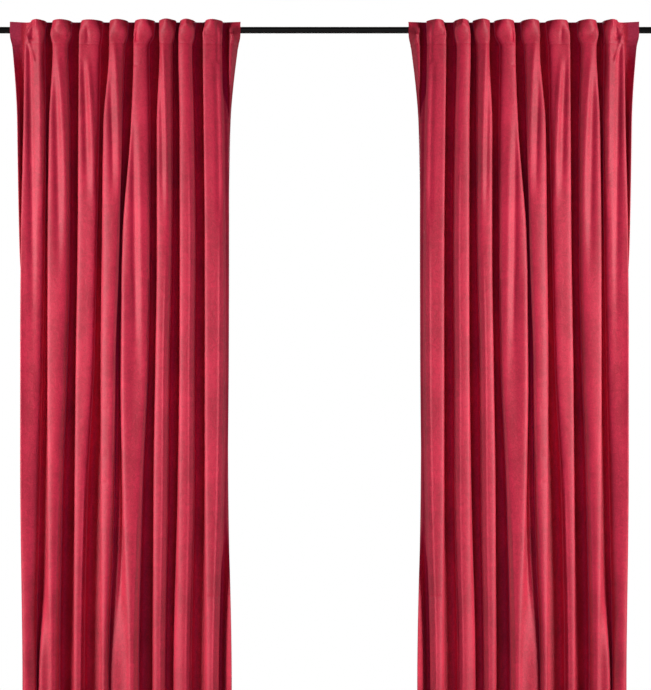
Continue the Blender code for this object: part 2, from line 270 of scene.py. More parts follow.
# A crease shows only where the cloth faces forwards by more than this share and lies further forward
# than this distance, each with a soft step after it.
FACING_FROM, FACING_STEP = 0.1, 0.5
FORWARD_FROM, FORWARD_STEP = 5.0, 15.0

# The hems: how wide each is turned, how the seams and the top edge are rounded, and the stitches, which
# run this far from a hem's inner edge. A stitch is raised by a share of its radius, and its thickness is
# given as shares of its length and its radius.
HEADING_BAND = 80.0
FOOT_HEM = 100.0
SIDE_HEM = 25.0
SEAMS = (CLOTH_TOP - HEADING_BAND, CLOTH_FOOT + FOOT_HEM)
SEAM_DEPTH = 0.7
SEAM_HALF_HEIGHT = 1.6
RIM_ROUNDING = 0.8
RIM_HEIGHT = 3.0
STITCH_INSET = 3.0
STITCH_LENGTH = 3.0
STITCH_PITCH = 4.2
STITCH_RADIUS = 0.35
STITCH_SIDES = 4
STITCH_RAISED = 0.4
STITCH_SWELL = ((0.0, 0.35), (0.3, 1.0), (0.7, 1.0), (1.0, 0.35))

# Edges that are sharper than these stay sharp, in degrees.
THREAD_SHARP_ANGLE = 40
VELVET_SHARP_ANGLE = 60
TAPE_SHARP_ANGLE = 70
ROD_SHARP_ANGLE = 30

# The attribute that carries where a point lies on the flat cloth or tape.
FLAT_PLACE = "flat_place"


def at_height(row, z):
    """A table row's value at a height, on a smooth curve that never passes beyond the row's own values."""
    heights = -np.array(LEVEL_Z)
    values = np.array(row, float)
    steps = np.diff(values) / np.diff(heights)
    slopes = np.zeros(len(values))
    for k in range(1, len(values) - 1):
        if steps[k - 1] * steps[k] > 0:
            slopes[k] = 2 / (1 / steps[k - 1] + 1 / steps[k])
    place = min(max(-z, heights[0]), heights[-1])
    k = min(int(np.searchsorted(heights, place, side="right")) - 1, len(steps) - 1)
    span = heights[k + 1] - heights[k]
    t = (place - heights[k]) / span
    return (
        (1 + 2 * t) * (1 - t) ** 2 * values[k]
        + t * (1 - t) ** 2 * span * slopes[k]
        + t * t * (3 - 2 * t) * values[k + 1]
        + t * t * (t - 1) * span * slopes[k + 1]
    )


def run_along(points):
    """How far along a line each of its points lies."""
    return np.concatenate([[0], np.cumsum(np.linalg.norm(np.diff(points, axis=0), axis=1))])


def spline(points, per_span):
    """Points along the smoothest curve through the given ones, per_span to each stretch between two."""
    points = np.array(points, float)
    count = len(points)
    along = run_along(points)
    spans = np.diff(along)
    matrix = np.zeros((count, count))
    right = np.zeros((count, 2))
    matrix[0, 0] = matrix[-1, -1] = 1
    for k in range(1, count - 1):
        matrix[k, k - 1 : k + 2] = spans[k - 1], 2 * (spans[k - 1] + spans[k]), spans[k]
        right[k] = 6 * (
            (points[k + 1] - points[k]) / spans[k] - (points[k] - points[k - 1]) / spans[k - 1]
        )
    bend = np.linalg.solve(matrix, right)
    t = np.arange(per_span)[None, :, None] / per_span
    span = spans[:, None, None]
    a, b = (1 - t) * span, t * span
    curve = (1 - t) * points[:-1, None] + t * points[1:, None]
    curve += (a**3 / span - a * span) * bend[:-1, None] / 6
    curve += (b**3 / span - b * span) * bend[1:, None] / 6
    return np.concatenate([curve.reshape(-1, 2), points[-1:]])


def plan_points(z, depths):
    """The points that the cloth's front runs through at a height, as (inwards, forwards)."""
    valleys = [at_height(row, z) for row in VALLEYS]
    floor = -at_height(VALLEY_BACK, z)
    floors = [floor + at_height(SHALLOW, z) * lift for lift in VALLEY_LIFT]
    rounding = at_height(FLOOR_ROUNDING, z)
    low_down = at_height(LOW_DOWN, z)
    lobes = at_height(LOBES_SET_IN, z) ** 2
    crown = float(smooth((z - CROWN_FROM) / (CLOTH_TOP - CROWN_FROM)))
    flank_share = FLANK_FORWARD - CROWN_FLANK * crown
    outer_shoulder, inner_shoulder = (
        at_height(row, z) - CROWN_SHOULDER * crown for row in (OUTER_SHOULDER, INNER_SHOULDER)
    )
    outer = np.array([at_height(OUTER_EDGE, z), at_height(OUTER_EDGE_FORWARD, z)])
    inner = np.array([at_height(INNER_EDGE, z), at_height(INNER_EDGE_FORWARD, z)])
    outer_turn, inner_turn = (
        floor + EDGE_TURN_RISE * min(1, max(-1, (edge[1] - floor) / EDGE_TURN)) for edge in (outer, inner)
    )
    first = (valleys[0] - at_height(OUTER_SIDE_FLOOR, z), outer_turn)
    last = np.array([valleys[-1] + INNER_SIDE_FLOOR, inner_turn])
    points = [outer, (outer + first) / 2, first]
    for k in range(FOLD_COUNT):
        start = at_height(FOLD_STARTS[k], z) + crown * CROWN_STARTS[k]
        end = at_height(FOLD_ENDS[k], z) + crown * CROWN_ENDS[k]
        depth = depths[k]
        turn = at_height(FRONT_TURNS[k], z)
        flank = start - low_down * FLANK_LEAN[k] - lobes * LOBE_WIDTH[k] - crown * CROWN_LEAN
        rise = valleys[k] + FLOOR_SHARE * (1 - lobes * LOBE_DRAW[k]) * (flank - valleys[k])
        flank_forward = (flank_share + lobes * LOBE_RISE[k]) * depth
        inner_flank = end + crown * CROWN_LEAN
        fall = valleys[k + 1] + FLOOR_SHARE * (inner_flank - valleys[k + 1])
        points += [
            (valleys[k], floors[k] + low_down * FLOOR_CLIMB[k] / 4),
            (rise, floors[k] + rounding + low_down * FLOOR_CLIMB[k]),
            (flank, flank_forward + low_down * FLOOR_CLIMB[k] / 2),
            (start, (outer_shoulder + turn / 2) * depth),
            (start + (at_height(FOREMOST_ACROSS, z) - turn) * (end - start), depth),
            (end, (inner_shoulder - turn / 2) * depth),
            (inner_flank, flank_share * depth),
            (fall, floors[k + 1] + rounding),
        ]
    side_forward = (1 - crown) * at_height(SIDE_FOLD_FORWARD, z)
    side_fold = last + SIDE_FOLD_PLACE * (inner - last) + (0, side_forward)
    return [*points, (valleys[-1], floor), last, side_fold, inner]


def plan_curve(z):
    """The cloth's front at a height as a fine curve, FINE_POINTS to each stretch. The folds' depths are
    brought by rounds to where each fold takes up its share of the cloth's width."""
    valley_at = (len(EDGE_SPANS) + len(FOLD_SPANS) * np.arange(FOLD_COUNT + 1)) * ROUND_POINTS
    cloth = CLOTH_PER_FOLD + at_height(MORE_CLOTH_SETS_IN, z) * np.array(MORE_CLOTH)
    depths = np.full(FOLD_COUNT, DEPTH_FIRST_GUESS)
    for _ in range(DEPTH_ROUNDS):
        curve = spline(plan_points(z, depths), ROUND_POINTS)
        along = run_along(curve)
        depths += (cloth - np.diff(along[valley_at])) / 2
    return spline(plan_points(z, depths), FINE_POINTS)


def plan_row(z):
    """The front's points at a height that become one row of the sheet's vertices."""
    spans = EDGE_SPANS + FOLD_SPANS * FOLD_COUNT + EDGE_SPANS[::-1]
    picks = [k * FINE_POINTS + n * FINE_POINTS // span for k, span in enumerate(spans) for n in range(span)]
    return plan_curve(z)[[*picks, len(spans) * FINE_POINTS]]


def backwards(row):
    """Unit directions in plan, at right angles to the cloth and towards its back."""
    run = np.gradient(row, axis=0)
    run /= np.linalg.norm(run, axis=1)[:, None]
    return np.stack([run[:, 1], -run[:, 0]], axis=1)


def smooth(x):
    """0 below 0, 1 above 1 and a soft step between."""
    x = np.clip(x, 0, 1)
    return x * x * (3 - 2 * x)


def creased(row, z):
    """A row of the front with the creases that cross its height."""
    back = backwards(row)
    faces_front = smooth((-back[:, 1] - FACING_FROM) / FACING_STEP)
    in_front = smooth((row[:, 1] - FORWARD_FROM) / FORWARD_STEP)
    lift = np.zeros(len(row))
    for top, middle, low, z_top, z_low, half_width, height, fade_top, fade_low in CREASES:
        down = (z_top - z) / (z_top - z_low)
        if not 0 < down < 1:
            continue
        place = (
            top * (1 - down) * (1 - 2 * down)
            + 4 * middle * down * (1 - down)
            + low * down * (2 * down - 1)
        )
        fade = smooth(down / fade_top) * smooth((1 - down) / fade_low)
        lift += height * fade * np.exp(-(((row[:, 0] - place) / half_width) ** 2))
    for fold, inset_top, inset_low, z_top, z_low, height in PRESSED_LINES:
        down = (z_top - z) / (z_top - z_low)
        if not 0 < down < 1:
            continue
        place = at_height(FOLD_ENDS[fold - 1], z) - inset_top * (1 - down) - inset_low * down
        fade = smooth(down / PRESSED_FADE) * smooth((1 - down) / PRESSED_FADE)
        lift += height * fade * np.exp(-(((row[:, 0] - place) / PRESSED_HALF_WIDTH) ** 2))
    for start, start_z, end, end_z, half_width, height in HEADING_CREASES:
        run = np.array([end - start, end_z - start_z], float)
        length = np.linalg.norm(run)
        from_start = np.stack([row[:, 0] - start, np.full(len(row), z - start_z)], axis=1)
        along = np.clip(from_start @ run / length**2, 0, 1)
        aside = np.linalg.norm(from_start - along[:, None] * run, axis=1)
        lift += height * np.exp(-((aside / half_width) ** 2))
    for start, end, crease_z, height in CROSS_CREASES:
        within = smooth((row[:, 0] - start) / CROSS_FADE) * smooth((end - row[:, 0]) / CROSS_FADE)
        lift += height * within * math.exp(-(((z - crease_z) / CROSS_HALF_HEIGHT) ** 2))
    lift *= faces_front * in_front
    lift -= SEAM_DEPTH * sum(math.exp(-(((z - seam) / SEAM_HALF_HEIGHT) ** 2)) for seam in SEAMS)
    lift -= RIM_ROUNDING * float(smooth((z - CLOTH_TOP + RIM_HEIGHT) / RIM_HEIGHT))
    return row - back * lift[:, None]


def place(row, z, side):
    """Points of a plan as world points in metres, on the left (side -1) or the right (side 1)."""
    x = side * (OUTER_CORNER_X - row[:, 0])
    y = VALLEY_FRONT_Y - row[:, 1]
    return np.stack([x, y, np.full(len(row), float(z))], axis=1) * MM


def row_heights():
    """The rows' heights, from the top down: close together across the seams and the creases. A crease that
    lies at the rows of another one uses those."""
    heading = np.linspace(CLOTH_TOP, HEADING_ROWS_FOOT, HEADING_ROWS, endpoint=False)
    body = np.linspace(HEADING_ROWS_FOOT, CLOTH_FOOT, BODY_ROWS)
    heights = list(heading) + list(body)
    close = [seam + step for seam in SEAMS for step in SEAM_ROW_STEPS]
    for _, _, z, _ in CROSS_CREASES:
        if all(abs(z - other) > ROW_GAP for other in close):
            close += [z + step for step in CROSS_CREASE_ROW_STEPS]
    close += [CLOTH_TOP - RIM_ROW_STEP]
    keep = [z for z in heights[1:-1] if min(abs(z - other) for other in close) > ROW_GAP]
    return np.array(sorted([CLOTH_TOP, *keep, *close, CLOTH_FOOT], reverse=True))


def thickness(across, z):
    """The cloth's thickness at distances along its width from the outer edge: thicker in the hems."""
    down = CLOTH_TOP - z
    if down < HEADING_BAND or z - CLOTH_FOOT < FOOT_HEM:
        return np.full(len(across), HEM_THICKNESS)
    from_side = np.minimum(across, across[-1] - across)
    return np.where(from_side < SIDE_HEM, HEM_THICKNESS, BODY_THICKNESS)


def new_object(name, points, faces, look, sharp_angle=THREAD_SHARP_ANGLE):
    """A mesh object with one material, smooth except at edges sharper than an angle in degrees."""
    mesh = bpy.data.meshes.new(name)
    mesh.from_pydata([tuple(p) for p in points], [], faces)
    shape = bmesh.new()
    shape.from_mesh(mesh)
    bmesh.ops.recalc_face_normals(shape, faces=shape.faces)
    shape.to_mesh(mesh)
    shape.free()
    mesh.materials.append(look)
    mesh.shade_smooth()
    mesh.set_sharp_from_angle(angle=math.radians(sharp_angle))
    made = bpy.data.objects.new(name, mesh)
    bpy.context.scene.collection.objects.link(made)
    return made


def add_panel(name, heights, rows, side, look):
    """One curtain as a closed sheet: front, back, and the rim between them. Its points carry where they
    lie on the flat cloth, in metres."""
    fronts, backs, flats = [], [], []
    for z, row in zip(heights, rows):
        across = run_along(row)
        fronts.append(place(row, z, side))
        backs.append(place(row + thickness(across, z)[:, None] * backwards(row), z, side))
        flats.append(np.stack([across, np.full(len(row), CLOTH_TOP - z), np.zeros(len(row))], axis=1) * MM)
    tall, wide = len(rows), len(rows[0])

    def front(i, j):
        return i * wide + j

    def back(i, j):
        return (tall + i) * wide + j

    faces = []
    for i in range(tall - 1):
        for j in range(wide - 1):
            faces.append((front(i, j), front(i + 1, j), front(i + 1, j + 1), front(i, j + 1)))
            faces.append((back(i, j), back(i, j + 1), back(i + 1, j + 1), back(i + 1, j)))
        for j in (0, wide - 1):
            faces.append((front(i, j), back(i, j), back(i + 1, j), front(i + 1, j)))
    for i in (0, tall - 1):
        for j in range(wide - 1):
            faces.append((front(i, j), front(i, j + 1), back(i, j + 1), back(i, j)))
    made = new_object(name, np.concatenate(fronts + backs), faces, look, VELVET_SHARP_ANGLE)
    flat = made.data.attributes.new(FLAT_PLACE, "FLOAT_VECTOR", "POINT")
    flat.data.foreach_set("vector", np.concatenate(flats + flats).astype(np.float32).ravel())
    return made


def stitch_run(starts, ends, outwards):
    """Stitches as short lengths of thread, each from a start to an end, lying on the side that outwards
    points to. Gives points and faces."""
    run = ends - starts
    run /= np.linalg.norm(run, axis=1)[:, None]
    across = np.cross(run, outwards)
    across /= np.linalg.norm(across, axis=1)[:, None]
    up = np.cross(across, run)
    count, sides, ring_count = len(starts), STITCH_SIDES, len(STITCH_SWELL)
    rings = []
    for share, swell in STITCH_SWELL:
        centre = starts + share * (ends - starts) + up * STITCH_RADIUS * MM * STITCH_RAISED * swell
        for n in range(sides):
            turn = 2 * math.pi * (n + 0.5) / sides
            way = math.cos(turn) * across + math.sin(turn) * up
            rings.append(centre + STITCH_RADIUS * MM * swell * way)
    points = np.stack(rings, axis=1).reshape(-1, 3)
    faces = []
    for k in range(count):
        first = k * ring_count * sides
        for ring in range(ring_count - 1):
            for n in range(sides):
                a, b = first + ring * sides + n, first + ring * sides + (n + 1) % sides
                faces.append((a, b, b + sides, a + sides))
        faces.append(tuple(first + n for n in range(sides)))
        faces.append(tuple(first + (ring_count - 1) * sides + n for n in range(sides)))
    return points, faces


def join(parts):
    """Several lots of points and faces as one."""
    points, faces = [], []
    for more_points, more_faces in parts:
        shift = sum(len(lot) for lot in points)
        points.append(more_points)
        faces += [tuple(n + shift for n in face) for face in more_faces]
    return np.concatenate(points), faces


class Cloth:
    """One side of a curtain's finished surface, to find the points that stitches lie on."""

    def __init__(self, heights, rows, side, of_back):
        self.heights = heights
        self.across = [run_along(row) for row in rows]
        self.shells = []
        self.outwards = []
        for z, row, across in zip(heights, rows, self.across):
            back = backwards(row)
            shell = row + thickness(across, z)[:, None] * back if of_back else row
            self.shells.append(place(shell, z, side))
            way = back if of_back else -back
            self.outwards.append(np.stack([-side * way[:, 0], -way[:, 1], np.zeros(len(row))], axis=1))

    def width(self):
        """The cloth's width at its top edge."""
        return self.across[0][-1]

    def at(self, share, z):
        """The point and the outward direction at a share of the width, or at shares of it, and a height."""
        low = min(max(int(np.searchsorted(-self.heights, -z)), 1), len(self.heights) - 1)
        down = (self.heights[low - 1] - z) / (self.heights[low - 1] - self.heights[low])
        results = []
        for lot in (self.shells, self.outwards):
            ends = []
            for k in (low - 1, low):
                at = np.asarray(share) * self.across[k][-1]
                axes = [np.interp(at, self.across[k], lot[k][:, n]) for n in range(3)]
                ends.append(np.stack(axes, axis=-1))
            results.append((1 - down) * ends[0] + down * ends[1])
        return results


def hem_stitches(cloth):
    """The rows of stitches that hold a curtain's hems, along the top band, the foot and both sides."""
    width = cloth.width()
    parts = []
    middles = np.arange(SIDE_HEM, width - SIDE_HEM, STITCH_PITCH)
    for z in (SEAMS[0] + STITCH_INSET, SEAMS[1] - STITCH_INSET):
        start, outwards = cloth.at((middles - STITCH_LENGTH / 2) / width, z)
        end, _ = cloth.at((middles + STITCH_LENGTH / 2) / width, z)
        parts.append(stitch_run(start, end, outwards))
    for share in ((SIDE_HEM - STITCH_INSET) / width, 1 - (SIDE_HEM - STITCH_INSET) / width):
        starts, ends, outwards = [], [], []
        for z in np.arange(SEAMS[0] - STITCH_PITCH, SEAMS[1], -STITCH_PITCH):
            start, outward = cloth.at(share, z + STITCH_LENGTH / 2)
            end, _ = cloth.at(share, z - STITCH_LENGTH / 2)
            starts.append(start)
            ends.append(end)
            outwards.append(outward)
        parts.append(stitch_run(np.array(starts), np.array(ends), np.array(outwards)))
    return join(parts)


# The straps. Each lies in its node's box. It is sewn to the heading's back above the rod, passes over and
# behind the rod, and is sewn again below it.

TAB_COUNT = 9
TAB_THICKNESS = 1.5
TAB_GAP = 0.3

# Where a strap leaves the cloth above the rod and meets it again below, the angles between which it lies
# round the rod, and the reaches of its two rounded corners.
TAB_TOP_END = 16.5
TAB_FOOT = -52.0
TAB_ARC = (70, -24)
TAB_ARC_STEPS = 24
TAB_STEP = 4.0
CORNER_TOP = 2.5
CORNER_FOOT = 8.0
CORNER_POINTS = 7

# A strap's section, from its edge to its middle line: how far from there, and the share of the thickness.
TAB_EDGE = ((10.0, 0.3), (9.8, 0.75), (9.3, 0.95), (8.2, 1.0), (5.5, 1.0), (2.7, 1.0), (0.0, 1.0))

# The rows of stitches across a strap's ends: their heights, how far from the strap's two edges they start
# and stop, how far apart the stitches' middles lie, and how far each stitch reaches from its middle.
TAB_STITCH_ROWS = (19.6, -54.0, -60.0)
TAB_STITCH_FROM = 3
TAB_STITCH_TO = 2
TAB_STITCH_PITCH = STITCH_PITCH * 0.8
TAB_STITCH_REACH = STITCH_LENGTH * 0.4


def rounded_corner(before, corner, after, reach):
    """Points round a corner, between the two places that lie a reach from it on its two sides."""
    before, corner, after = (np.array(p, float) for p in (before, corner, after))
    start = corner + (before - corner) / np.linalg.norm(before - corner) * reach
    end = corner + (after - corner) / np.linalg.norm(after - corner) * reach
    shares = np.linspace(0, 1, CORNER_POINTS)
    return [(1 - t) ** 2 * start + 2 * t * (1 - t) * corner + t * t * end for t in shares]


def tab_path(low, high):
    """The middle line of a strap in a node's box, as (back, up), and how far along it each point lies."""
    sewn = low.y / MM + TAB_THICKNESS / 2
    top, foot = high.z / MM, low.z / MM
    reach = ROD_RADIUS / MM + TAB_GAP + TAB_THICKNESS / 2
    angles = np.radians(np.linspace(*TAB_ARC, TAB_ARC_STEPS))
    over = [(reach * math.cos(a), reach * math.sin(a)) for a in angles]
    line = [(sewn, top)]
    line += rounded_corner((sewn, top), (sewn, TAB_TOP_END), over[0], CORNER_TOP)
    line += over
    line += rounded_corner(over[-1], (sewn, TAB_FOOT), (sewn, foot), CORNER_FOOT)
    line = np.array(line + [(sewn, foot)])
    along = run_along(line)
    evenly = np.unique(np.concatenate([along, np.arange(0, along[-1], TAB_STEP)]))
    return np.stack([np.interp(evenly, along, line[:, n]) for n in (0, 1)], axis=1), evenly


def add_tab(name, low, high, look):
    """One strap with rounded edges. Its points carry where they lie on the flat tape, in metres."""
    line, along = tab_path(low, high)
    outward = backwards(line)
    middle = (low.x + high.x) / 2 / MM
    across = [-w for w, _ in TAB_EDGE] + [w for w, _ in TAB_EDGE[-2::-1]]
    swell = [t for _, t in TAB_EDGE] + [t for _, t in TAB_EDGE[-2::-1]]
    points, flats = [], []
    for way in (1, -1):
        for k in range(len(line)):
            for w, t in zip(across, swell):
                y, z = line[k] + way * t * TAB_THICKNESS / 2 * outward[k]
                points.append(np.array([middle + w, y, z]) * MM)
                flats.append((w * MM, along[k] * MM, 0))
    tall, wide = len(line), len(across)
    faces = []
    for i in range(tall - 1):
        for j in range(wide - 1):
            a = i * wide + j
            b = a + tall * wide
            faces.append((a, a + wide, a + wide + 1, a + 1))
            faces.append((b, b + 1, b + wide + 1, b + wide))
        for j in (0, wide - 1):
            a = i * wide + j
            faces.append((a, a + tall * wide, a + wide + tall * wide, a + wide))
    for i in (0, tall - 1):
        for j in range(wide - 1):
            a = i * wide + j
            faces.append((a, a + 1, a + 1 + tall * wide, a + tall * wide))
    made = new_object(name, points, faces, look, TAPE_SHARP_ANGLE)
    flat = made.data.attributes.new(FLAT_PLACE, "FLOAT_VECTOR", "POINT")
    flat.data.foreach_set("vector", np.array(flats, np.float32).ravel())
    return made, along[-1] * MM


def tab_stitches(low, high):
    """The stitches across a strap's two ends, on its side away from the cloth."""
    middles = np.arange(low.x / MM + TAB_STITCH_FROM, high.x / MM - TAB_STITCH_TO, TAB_STITCH_PITCH)
    y = low.y / MM + TAB_THICKNESS
    parts = []
    for z in TAB_STITCH_ROWS:
        starts = np.array([(x - TAB_STITCH_REACH, y, z) for x in middles]) * MM
        ends = np.array([(x + TAB_STITCH_REACH, y, z) for x in middles]) * MM
        parts.append(stitch_run(starts, ends, np.array([(0.0, 1.0, 0.0)] * len(middles))))
    return join(parts)


# The rod, turned from a profile of (distance along it, radius), with a plug seam near each end.

ROD_SIDES = 96
ROD_CHAMFER = 1.0
ROD_CHAMFER_TURN = 0.3
ROD_END_HOLE = 0.001
PLUG_SEAM = 8.0
PLUG_SEAM_WIDTH = 0.5


def add_rod(look):
    """The rod with its chamfered ends and plug seams."""
    length, radius = ROD_LENGTH / MM, ROD_RADIUS / MM
    end = [
        (0, ROD_END_HOLE),
        (0, radius - 2 * ROD_CHAMFER),
        (0, radius - ROD_CHAMFER),
        (ROD_CHAMFER_TURN * ROD_CHAMFER, radius - ROD_CHAMFER_TURN * ROD_CHAMFER),
        (ROD_CHAMFER, radius),
        (PLUG_SEAM - PLUG_SEAM_WIDTH, radius),
        (PLUG_SEAM, radius - PLUG_SEAM_WIDTH),
        (PLUG_SEAM + PLUG_SEAM_WIDTH, radius),
    ]
    profile = end + [(length - x, r) for x, r in end[::-1]]
    points = []
    for x, r in profile:
        for n in range(ROD_SIDES):
            turn = 2 * math.pi * n / ROD_SIDES
            points.append(np.array([x - length / 2, r * math.cos(turn), r * math.sin(turn)]) * MM)
    faces = []
    for k in range(len(profile) - 1):
        for n in range(ROD_SIDES):
            a, b = k * ROD_SIDES + n, k * ROD_SIDES + (n + 1) % ROD_SIDES
            faces.append((a, b, b + ROD_SIDES, a + ROD_SIDES))
    for k in (0, len(profile) - 1):
        faces.append(tuple(k * ROD_SIDES + n for n in range(ROD_SIDES)))
    return new_object("painted_rod", points, faces, look, ROD_SHARP_ANGLE)


# The finishes.

VELVET_DEEP = (0.39, 0.008, 0.028, 1)
VELVET_PALE = (0.64, 0.019, 0.058, 1)
# The grey-brown tint that is multiplied into the outer hem's colour near the top: painted shade, not the
# cloth's own colour.
HEM_PAINTED_SHADE = (0.95, 2.3, 1.8, 1)
SHEEN = 0.6
SHEEN_ROUGHNESS = 0.38
SHEEN_TINT = (1.0, 0.6, 0.62, 1)
TAPE_DEEP = (0.14, 0.008, 0.016, 1)
TAPE_PALE = (0.38, 0.025, 0.05, 1)
THREAD_DEEP = (0.24, 0.01, 0.025, 1)
THREAD_PALE = (0.45, 0.03, 0.06, 1)
ROD_BLACK = (0.012, 0.012, 0.013, 1)

# The pile's clouds are longer down the cloth than across it. Their colours span this part of the sum of
# the noises, and the smudges go into it at this strength and with this lift.
CLOUD_STRETCH = (1.0, 0.45, 1.0)
SHADE_LOW, SHADE_HIGH = 1.24, 1.76
SMUDGE_SHARE, SMUDGE_LIFT = 0.7, 0.15

# The painted shade lies on the outer side edge near the top, as a grey-brown tint that multiplies the
# velvet's colour. It is full at the second distance and gone at the first, in metres across and down the
# flat cloth.
HEM_PAINTED_SHADE_ACROSS = (0.040, 0.034)
HEM_PAINTED_SHADE_DOWN = (0.55, 0.1)

# The tape's ribs and warp as waves, in radians to the metre, and the warp's share in the weave.
RIB_TURN = 5200.0
WARP_TURN = 9000.0
WARP_SHARE = 0.4


def node_tree(name):
    """A new material and a function that adds a node with its inputs set or linked."""
    made = bpy.data.materials.new(name)
    made.use_nodes = True
    tree = made.node_tree

    def add(kind, inputs=None, **settings):
        node = tree.nodes.new(kind)
        for key, value in settings.items():
            setattr(node, key, value)
        for key, value in (inputs or {}).items():
            if isinstance(value, bpy.types.NodeSocket):
                tree.links.new(value, node.inputs[key])
            else:
                node.inputs[key].default_value = value
        return node

    return made, add, tree.nodes["Principled BSDF"]


def link(made, start, end):
    """Links two sockets of a material."""
    made.node_tree.links.new(start, end)


def velvet():
    """Crimson velvet: clouds and smudges in its pile, sheen, and painted grey-brown shade on the outer hem
    near the top.
    """
    made, add, shader = node_tree("crimson_velvet")
    flat = add("ShaderNodeAttribute", attribute_name=FLAT_PLACE).outputs["Vector"]
    stretched = add("ShaderNodeVectorMath", {0: flat, 1: CLOUD_STRETCH}, operation="MULTIPLY").outputs[0]
    clouds = add("ShaderNodeTexNoise", {"Vector": stretched, "Scale": 11.0, "Detail": 2.0, "Roughness": 0.6})
    smudges = add("ShaderNodeTexNoise", {"Vector": flat, "Scale": 55.0, "Detail": 3.0, "Roughness": 0.6})
    pile = add("ShaderNodeTexNoise", {"Vector": flat, "Scale": 230.0, "Detail": 3.0, "Roughness": 0.7})
    smudges.inputs["Distortion"].default_value = 1.2
    pile.inputs["Distortion"].default_value = 0.8
    amounts = {0: smudges.outputs["Fac"], 1: SMUDGE_SHARE, 2: SMUDGE_LIFT}
    blotches = add("ShaderNodeMath", amounts, operation="MULTIPLY_ADD")
    mixed = add("ShaderNodeMath", {0: clouds.outputs["Fac"], 1: blotches.outputs[0]}, operation="ADD")
    mixed = add("ShaderNodeMath", {0: mixed.outputs[0], 1: pile.outputs["Fac"]}, operation="ADD")
    limits = {"From Min": SHADE_LOW, "From Max": SHADE_HIGH}
    shade = add("ShaderNodeMapRange", {"Value": mixed.outputs[0], **limits})
    colours = add("ShaderNodeMix", {"Factor": shade.outputs[0]}, data_type="RGBA")
    colours.inputs["A"].default_value = VELVET_DEEP
    colours.inputs["B"].default_value = VELVET_PALE
    # Painted shade: the base colour is multiplied by a grey-brown tint on the outer hem near the top.
    parts = add("ShaderNodeSeparateXYZ", {0: flat})
    masks = []
    for axis, (none_at, full_at) in (("X", HEM_PAINTED_SHADE_ACROSS), ("Y", HEM_PAINTED_SHADE_DOWN)):
        limits = {"From Min": none_at, "From Max": full_at}
        mask = add("ShaderNodeMapRange", {"Value": parts.outputs[axis], **limits})
        masks.append(mask.outputs[0])
    hem_shade_mask = add("ShaderNodeMath", {0: masks[0], 1: masks[1]}, operation="MULTIPLY")
    hem_shaded_colour = add("ShaderNodeMix", {"Factor": hem_shade_mask.outputs[0]}, data_type="RGBA", blend_type="MULTIPLY")
    link(made, colours.outputs["Result"], hem_shaded_colour.inputs["A"])
    hem_shaded_colour.inputs["B"].default_value = HEM_PAINTED_SHADE
    link(made, hem_shaded_colour.outputs["Result"], shader.inputs["Base Color"])
    lay = add("ShaderNodeBump", {"Strength": 0.6, "Distance": 0.002, "Height": smudges.outputs["Fac"]})
    bump = add("ShaderNodeBump", {"Strength": 0.4, "Distance": 0.0006, "Height": pile.outputs["Fac"]})
    link(made, lay.outputs["Normal"], bump.inputs["Normal"])
    link(made, bump.outputs["Normal"], shader.inputs["Normal"])
    shader.inputs["Roughness"].default_value = 0.6
    shader.inputs["Specular IOR Level"].default_value = 0.5
    shader.inputs["Sheen Weight"].default_value = SHEEN
    shader.inputs["Sheen Roughness"].default_value = SHEEN_ROUGHNESS
    shader.inputs["Sheen Tint"].default_value = SHEEN_TINT
    return made


def tape():
    """Woven tape: ribs across its width, a finer warp along it, and fuzz."""
    made, add, shader = node_tree("crimson_tape")
    flat = add("ShaderNodeAttribute", attribute_name=FLAT_PLACE).outputs["Vector"]
    parts = add("ShaderNodeSeparateXYZ", {0: flat})
    ribs = add("ShaderNodeMath", {0: parts.outputs["Y"], 1: RIB_TURN}, operation="MULTIPLY")
    ribs = add("ShaderNodeMath", {0: ribs.outputs[0]}, operation="SINE")
    warp = add("ShaderNodeMath", {0: parts.outputs["X"], 1: WARP_TURN}, operation="MULTIPLY")
    warp = add("ShaderNodeMath", {0: warp.outputs[0]}, operation="SINE")
    waves = {0: warp.outputs[0], 1: WARP_SHARE, 2: ribs.outputs[0]}
    weave = add("ShaderNodeMath", waves, operation="MULTIPLY_ADD")
    fuzz = add("ShaderNodeTexNoise", {"Vector": flat, "Scale": 700.0, "Detail": 3.0})
    limits = {"From Min": -1 - WARP_SHARE, "From Max": 1 + WARP_SHARE}
    shade = add("ShaderNodeMapRange", {"Value": weave.outputs[0], **limits})
    mixed = add("ShaderNodeMath", {0: shade.outputs[0], 1: fuzz.outputs["Fac"]}, operation="MULTIPLY")
    colours = add("ShaderNodeMix", {"Factor": mixed.outputs[0]}, data_type="RGBA")
    colours.inputs["A"].default_value = TAPE_DEEP
    colours.inputs["B"].default_value = TAPE_PALE
    link(made, colours.outputs["Result"], shader.inputs["Base Color"])
    bump = add("ShaderNodeBump", {"Strength": 0.6, "Distance": 0.0002, "Height": weave.outputs[0]})
    link(made, bump.outputs["Normal"], shader.inputs["Normal"])
    shader.inputs["Roughness"].default_value = 0.8
    shader.inputs["Specular IOR Level"].default_value = 0.3
    return made


def thread():
    """Crimson thread with an uneven twist."""
    made, add, shader = node_tree("crimson_thread")
    place_on = add("ShaderNodeTexCoord").outputs["Object"]
    twist = add("ShaderNodeTexNoise", {"Vector": place_on, "Scale": 2500.0, "Detail": 2.0})
    colours = add("ShaderNodeMix", {"Factor": twist.outputs["Fac"]}, data_type="RGBA")
    colours.inputs["A"].default_value = THREAD_DEEP
    colours.inputs["B"].default_value = THREAD_PALE
    link(made, colours.outputs["Result"], shader.inputs["Base Color"])
    shader.inputs["Roughness"].default_value = 0.6
    return made


